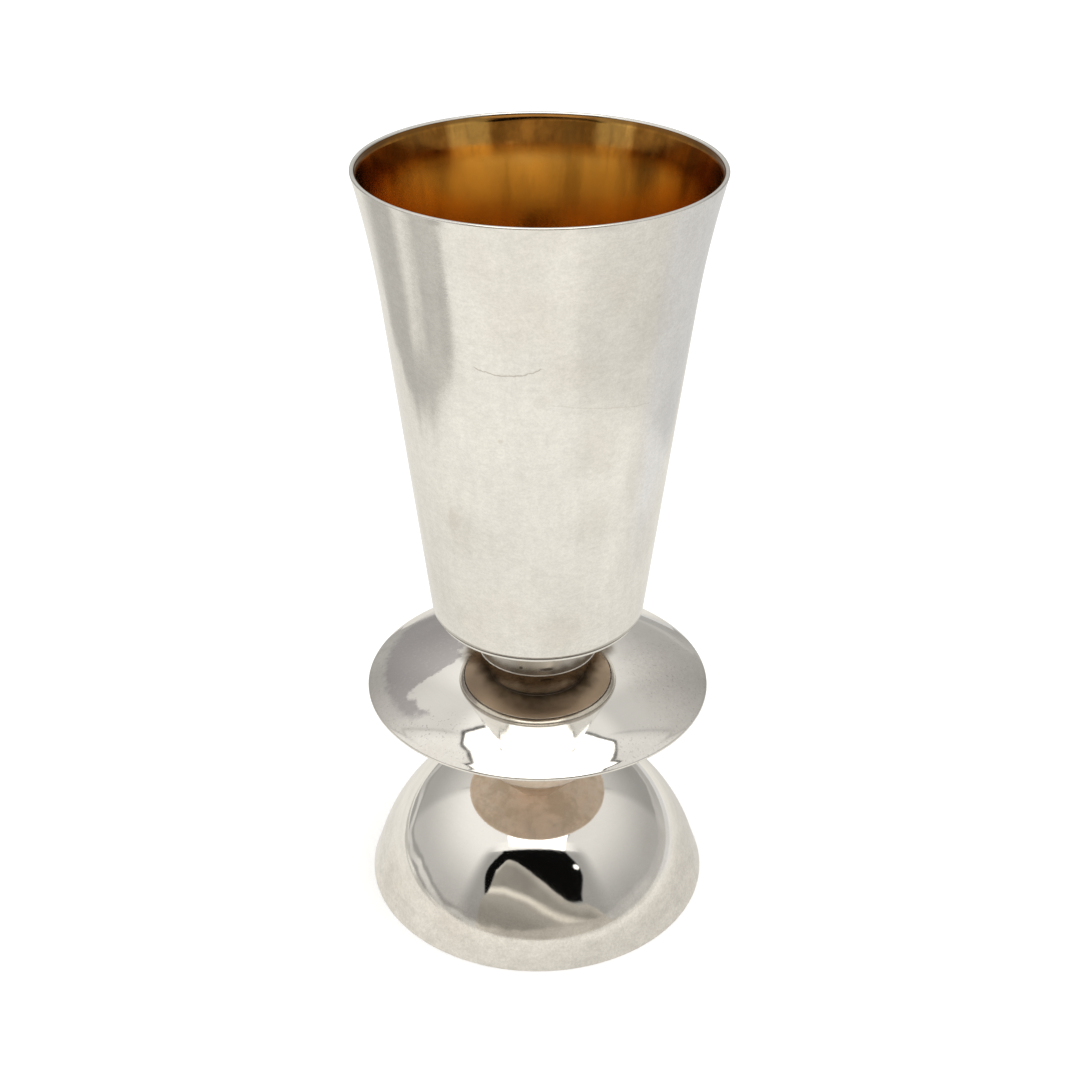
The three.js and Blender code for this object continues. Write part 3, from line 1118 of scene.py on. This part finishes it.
# The surroundings as the silver mirrors them. Places on the tent's front wall are slopes seen
# from the cup: u to the right and v upwards, for each unit of depth.
OPENING_MIDDLE = -0.07
OPENING_HALF_WIDTH = 0.88
OPENING_TOP = 1.505
OPENING_SILL = 0.40
OPENING_DARK = 0.004
BULB_PLACE = (0.735, 1.03)
BULB_RADIUS = 0.061
BULB_LIGHT = 1.8
CLOTH_LEFT = -0.72
CLOTH_TINT = (1.0, 0.95, 0.87)
LAMP_LIGHT = 2.3
LAMP_HALF_WIDTH = 0.406
LAMP_FRONT, LAMP_REAR = -0.64, 0.228
LAMP_FRAME = 0.024
FLOOR_COOL_TINT = (0.97, 0.99, 1.05)


def tent_walls(t, rise, backwards, sideways):
    """Pale side walls, brighter upwards and at the left, with a dimmer back wall between seams."""
    lit = t.between(rise, math.radians(10), math.radians(50), 0.56, 1.0)
    lit = t.product(lit, t.between(sideways, -0.5, 0.5, 1.05, 0.88))
    back = t.product(
        t.between(backwards, 0.42, 0.55, 0.0, 0.24),
        t.between(rise, 1.02, 1.15, 1.0, 0.0),
        t.between(backwards, 0.79, 0.90, 1.0, 0.1),
    )
    lit = t.product(lit, t.math("SUBTRACT", 1.0, back))
    seam = t.product(
        t.window(backwards, 0.515, 0.535, 0.012), t.window(rise, 0.65, 1.12, 0.05)
    )
    return t.mixed(t.product(seam, 0.35), lit, 0.30)


def tent_opening(t, lit, facing, u, v):
    """The front wall: dimmer beside a dark opening with cut corners, in which a bulb shines."""
    aside = t.math("ABSOLUTE", t.math("SUBTRACT", u, OPENING_MIDDLE))
    beside = t.product(
        facing, t.between(aside, 0.92, 1.45, 1.0, 0.0), t.between(v, 1.3, 1.9, 1.0, 0.0)
    )
    lit = t.mixed(beside, lit, 0.40)
    above = t.product(
        facing, t.window(v, 1.5, 1.9, 0.02), t.between(aside, 0.75, 1.2, 1.0, 0.0)
    )
    lit = t.mixed(above, lit, 1.15)
    cut_corners = t.math(
        "ADD", t.between(v, 0.97, 1.56, 0.0, 0.20), t.between(v, 0.40, 0.90, 0.16, 0.0)
    )
    above_sill = t.math("SUBTRACT", v, t.between(u, -0.7, 0.4, 0.10, 0.0))
    opening = t.product(
        facing,
        t.falls(t.math("ADD", aside, cut_corners), OPENING_HALF_WIDTH, 0.02),
        t.falls(v, OPENING_TOP, 0.015),
        t.rises(above_sill, OPENING_SILL, 0.02),
    )
    lit = t.mixed(opening, lit, OPENING_DARK)
    bulb = t.hypot(
        t.math("SUBTRACT", u, BULB_PLACE[0]), t.math("SUBTRACT", v, BULB_PLACE[1])
    )
    return t.mixed(t.product(facing, t.falls(bulb, BULB_RADIUS, 0.007)), lit, BULB_LIGHT)


def hanging_cloth(t, lit, facing, u, v, place):
    """A rounded heap of cloth before the opening, falling to the right, with one bright fold."""
    wobble = t.add("ShaderNodeTexNoise", {"Vector": place, "Scale": 2.2, "Detail": 2.0})
    wobble = wobble.outputs["Fac"]
    drift = t.product(t.math("SUBTRACT", wobble, 0.5), 0.16)
    top = t.between(u, -0.58, 0.64, 1.20, 0.38)
    top = t.math("SUBTRACT", top, t.between(u, -0.74, -0.56, 0.24, 0.0))
    top = t.math("SUBTRACT", top, t.between(u, 0.66, 1.25, 0.0, 0.34))
    under_top = t.math("SUBTRACT", t.math("MULTIPLY_ADD", drift, 0.5, top), v)
    leftmost = t.math("ADD", t.math("ADD", u, drift), t.between(v, 0.40, 0.56, 0.12, 0.0))
    aside = t.math("ABSOLUTE", t.math("SUBTRACT", u, OPENING_MIDDLE))
    cloth = t.product(
        facing,
        t.between(under_top, 0.0, 0.03),
        t.rises(leftmost, CLOTH_LEFT, 0.02),
        t.between(aside, 1.25, 1.7, 1.0, 0.0),
    )
    shade = t.product(
        t.between(under_top, 0.02, 0.20, 0.55, 0.33), t.between(wobble, 0.35, 0.65, 0.88, 1.1)
    )
    fold = t.math(
        "SUBTRACT", t.math("MULTIPLY_ADD", drift, 0.6, v), t.between(u, -0.6, 0.85, 0.57, 0.07)
    )
    below = t.between(fold, -0.32, -0.05, 0.34, 0.46)
    shade = t.mixed(t.between(fold, -0.02, -0.10), shade, below)
    shade = t.mixed(t.window(fold, -0.04, 0.05, 0.05), shade, 0.94)
    return t.mixed(cloth, lit, shade), cloth


def floor_creases(t, lit, rise, backwards, sideways, place):
    """Where the walls meet the floor: a loose ribbon of cloth between two dark creases."""
    creases = t.add("ShaderNodeTexNoise", {"Vector": place, "Scale": 1.9, "Detail": 2.0})
    creases = creases.outputs["Fac"]
    wander = t.product(t.math("SUBTRACT", creases, 0.5), math.radians(11))
    level = t.math("SUBTRACT", rise, wander)
    left = t.between(sideways, -0.62, -0.30, 1.0, 0.0)
    ribbon = t.product(
        t.between(creases, 0.3, 0.7, 0.92, 1.1),
        t.mixed(left, 0.60, 0.76),
        t.between(backwards, 0.35, 0.75, 1.0, 0.80),
    )
    upper_crease = t.between(level, math.radians(7.0), math.radians(5.4))
    lit = t.mixed(upper_crease, lit, t.mixed(left, 0.56, 0.40))
    lit = t.mixed(t.between(level, math.radians(4.6), math.radians(3.2)), lit, ribbon)
    lower_crease = t.between(level, math.radians(1.4), 0.0)
    return t.mixed(t.product(left, lower_crease), lit, 0.42)


def roof_lamp(t, lit, x, y, z, place):
    """The lamp in the roof, a little narrower over the disc and edged in black."""
    high = t.math("MAXIMUM", z, 0.001)
    overhead = t.math("GREATER_THAN", z, 0.2)
    side = t.math("DIVIDE", x, high)
    deep = t.math("MULTIPLY_ADD", side, 0.08, t.math("DIVIDE", y, high))
    pinch = t.product(
        t.between(deep, 0.0, 0.16, 0.05, 0.0), t.between(deep, -0.12, -0.04)
    )
    ragged = t.add("ShaderNodeTexNoise", {"Vector": place, "Scale": 6.0, "Detail": 3.0})
    uneven = t.product(t.math("SUBTRACT", ragged.outputs["Fac"], 0.5), 0.06)
    out = t.math("ABSOLUTE", t.math("SUBTRACT", side, 0.01))
    out = t.math("ADD", out, t.math("ADD", pinch, uneven))
    rear = t.math("ADD", deep, uneven)
    frame_tone = t.between(side, -0.1, 0.3, 0.02, 0.22)
    black_edge = t.product(
        overhead,
        t.falls(out, LAMP_HALF_WIDTH + LAMP_FRAME, 0.006),
        t.window(rear, LAMP_FRONT - 0.02, LAMP_REAR + LAMP_FRAME, 0.006),
        t.between(deep, -0.5, -0.3),
    )
    lamp = t.product(
        overhead,
        t.falls(out, LAMP_HALF_WIDTH, 0.006),
        t.window(rear, LAMP_FRONT, LAMP_REAR, 0.006),
    )
    return t.mixed(lamp, t.mixed(black_edge, lit, frame_tone), LAMP_LIGHT)


def tent_light(t):
    """Light of the tent by direction: pale walls, bright roof, dark opening in front."""
    place = t.add("ShaderNodeTexCoord").outputs["Object"]
    x, y, z = t.parts(place)
    flat = t.hypot(x, y)
    rise = t.math("ARCTAN2", z, flat)
    backwards = t.math("DIVIDE", y, flat)
    sideways = t.math("DIVIDE", x, flat)
    facing = t.math("LESS_THAN", y, 0.0)
    ahead = t.math("MAXIMUM", t.product(y, -1.0), 0.001)
    u, v = t.math("DIVIDE", x, ahead), t.math("DIVIDE", z, ahead)
    lit = tent_walls(t, rise, backwards, sideways)
    lit = tent_opening(t, lit, facing, u, v)
    lit, cloth = hanging_cloth(t, lit, facing, u, v, place)
    lit = floor_creases(t, lit, rise, backwards, sideways, place)
    lit = roof_lamp(t, lit, x, y, z, place)
    colour = t.scaled(lit, tuple(bpy.context.scene.cup_studio.tent_tone))
    return t.blend(cloth, colour, CLOTH_TINT, "MULTIPLY")


def floor_light(t):
    """Light of the paper floor as the silver mirrors it, with the shadows at its sides."""
    place = t.add("ShaderNodeTexCoord").outputs["Object"]
    x, y, _ = t.parts(place)
    reach = t.hypot(x, y)
    backwards = t.math("DIVIDE", y, reach)
    sideways = t.math("DIVIDE", x, reach)
    near = t.between(reach, 0.06, 0.10, 1.0, 0.0)
    fine = {"Vector": place, "Scale": 90.0, "Detail": 5.0, "Roughness": 0.7}
    fine = t.add("ShaderNodeTexNoise", fine).outputs["Fac"]
    tone = t.product(
        t.between(backwards, -0.6, 0.9, 1.08, 0.93),
        t.mixed(near, 1.0, t.between(sideways, -0.9, 0.9, 1.07, 0.91)),
        t.between(reach, 0.030, 0.085, 0.88, 1.0),
        t.between(reach, 0.105, 0.150, 0.95, 1.0),
        t.between(fine, 0.35, 0.65, 0.95, 1.02),
    )

    # Far left the cloth lies in folds: a broad shadow with one bright gap in it
    ragged = t.add("ShaderNodeTexNoise", {"Vector": place, "Scale": 26.0, "Detail": 2.0})
    drift = t.product(t.math("SUBTRACT", ragged.outputs["Fac"], 0.5), 0.045)
    across, along = t.math("ADD", x, drift), t.math("SUBTRACT", y, drift)
    far_left = t.product(
        t.between(across, -0.174, -0.163, 1.0, 0.0),
        t.between(along, -0.100, -0.082),
        t.between(along, 0.15, 0.26, 1.0, 0.0),
    )
    gap = t.product(
        t.window(along, 0.004, 0.058, 0.016), t.between(across, -0.212, -0.202, 1.0, 0.0)
    )
    shadow = t.product(far_left, t.math("SUBTRACT", 0.37, t.product(gap, 0.35)))
    rim = t.product(far_left, t.window(along, -0.094, -0.066, 0.010))
    shadow = t.math("MULTIPLY_ADD", rim, 0.12, shadow)
    far_right = t.product(
        t.between(reach, 0.160, 0.176, 0.0, 0.17), t.between(across, 0.05, 0.12)
    )
    tone = t.product(tone, t.math("SUBTRACT", 1.0, t.math("ADD", shadow, far_right)))
    cool = t.product(t.between(x, 0.08, 0.14), t.between(y, -0.03, 0.04))
    colour = t.scaled(tone, tuple(bpy.context.scene.cup_studio.floor_tone))
    return t.blend(cool, colour, FLOOR_COOL_TINT, "MULTIPLY")


class CUP_OT_stage(Operator):
    """Sets the pale floor, the light tent, the soft light and the camera"""

    bl_idname = "cup.stage"
    bl_label = "Stage"

    def execute(self, context):
        scene, studio = context.scene, context.scene.cup_studio
        floor = round_floor("paper_floor", FLOOR_RADIUS, paper())
        floor.visible_glossy = False
        lit_floor = glow("floor_glow", floor_light)
        mirrored_floor = round_floor("mirrored_floor", MIRRORED_FLOOR_RADIUS, lit_floor)
        only_mirrored(mirrored_floor)

        bpy.ops.mesh.primitive_uv_sphere_add(segments=96, ring_count=48, radius=TENT_RADIUS)
        tent = context.object
        tent.name = "light_tent"
        tent.data.materials.append(glow("tent_glow", tent_light))
        only_mirrored(tent)

        lamp = bpy.data.lights.new("soft_light", "AREA")
        lamp.shape = "DISK"
        lamp.size = KEY_LIGHT_SIZE
        lamp.energy = KEY_LIGHT_WATTS
        key = bpy.data.objects.new("soft_light", lamp)
        key.location = KEY_LIGHT_PLACE
        key.rotation_euler = (math.radians(9), math.radians(30), 0)
        key.visible_glossy = False
        scene.collection.objects.link(key)

        world = bpy.data.worlds.new("studio")
        world.use_nodes = True
        air = world.node_tree.nodes["Background"]
        air.inputs["Color"].default_value = (1.0, 1.0, 1.0, 1)
        air.inputs["Strength"].default_value = WORLD_LIGHT
        scene.world = world
        scene.view_settings.view_transform = "Standard"

        lens = bpy.data.cameras.new("camera")
        lens.sensor_width = SENSOR_WIDTH
        lens.lens = studio.lens
        lens.clip_start = 0.01
        lens.clip_end = 20.0
        lens.shift_x = CAMERA_SHIFT
        camera = bpy.data.objects.new("camera", lens)
        camera.location = (CAMERA_ASIDE, -studio.camera_distance, studio.camera_height)
        camera.rotation_euler = (math.pi / 2 - studio.camera_tilt, CAMERA_ROLL, CAMERA_TURN)
        scene.collection.objects.link(camera)
        scene.camera = camera
        return {"FINISHED"}


class CUP_PT_panel(Panel):
    """Lists the cup's pieces and sizes"""

    bl_label = "Kiddush cup"
    bl_idname = "CUP_PT_panel"
    bl_space_type = "VIEW_3D"
    bl_region_type = "UI"
    bl_category = "Kiddush cup"

    def draw(self, context):
        groups = (
            (context.scene.cup_bowl, ("cup.bowl",)),
            (context.scene.cup_stem, ("cup.drums", "cup.disc")),
            (context.scene.cup_foot, ("cup.foot",)),
            (context.scene.cup_finish, ()),
            (context.scene.cup_studio, ("cup.stage",)),
        )
        for settings, operators in groups:
            box = self.layout.box()
            for name in settings.bl_rna.properties.keys():
                if name not in ("rna_type", "name"):
                    box.prop(settings, name)
            for operator in operators:
                box.operator(operator)


SETTINGS = {
    "cup_bowl": BowlSizes,
    "cup_stem": StemSizes,
    "cup_foot": FootSizes,
    "cup_finish": Finish,
    "cup_studio": Studio,
}
CLASSES = (
    *SETTINGS.values(),
    CUP_OT_bowl,
    CUP_OT_drums,
    CUP_OT_disc,
    CUP_OT_foot,
    CUP_OT_stage,
    CUP_PT_panel,
)


def register():
    for cls in CLASSES:
        bpy.utils.register_class(cls)
    for name, kind in SETTINGS.items():
        setattr(bpy.types.Scene, name, PointerProperty(type=kind))


def unregister():
    for name in SETTINGS:
        delattr(bpy.types.Scene, name)
    for cls in reversed(CLASSES):
        bpy.utils.unregister_class(cls)


def main():
    """Builds every piece and the stage."""
    register()
    bpy.ops.cup.bowl()
    bpy.ops.cup.drums()
    bpy.ops.cup.disc()
    bpy.ops.cup.foot()
    bpy.ops.cup.stage()


if __name__ == "__main__":
    main()
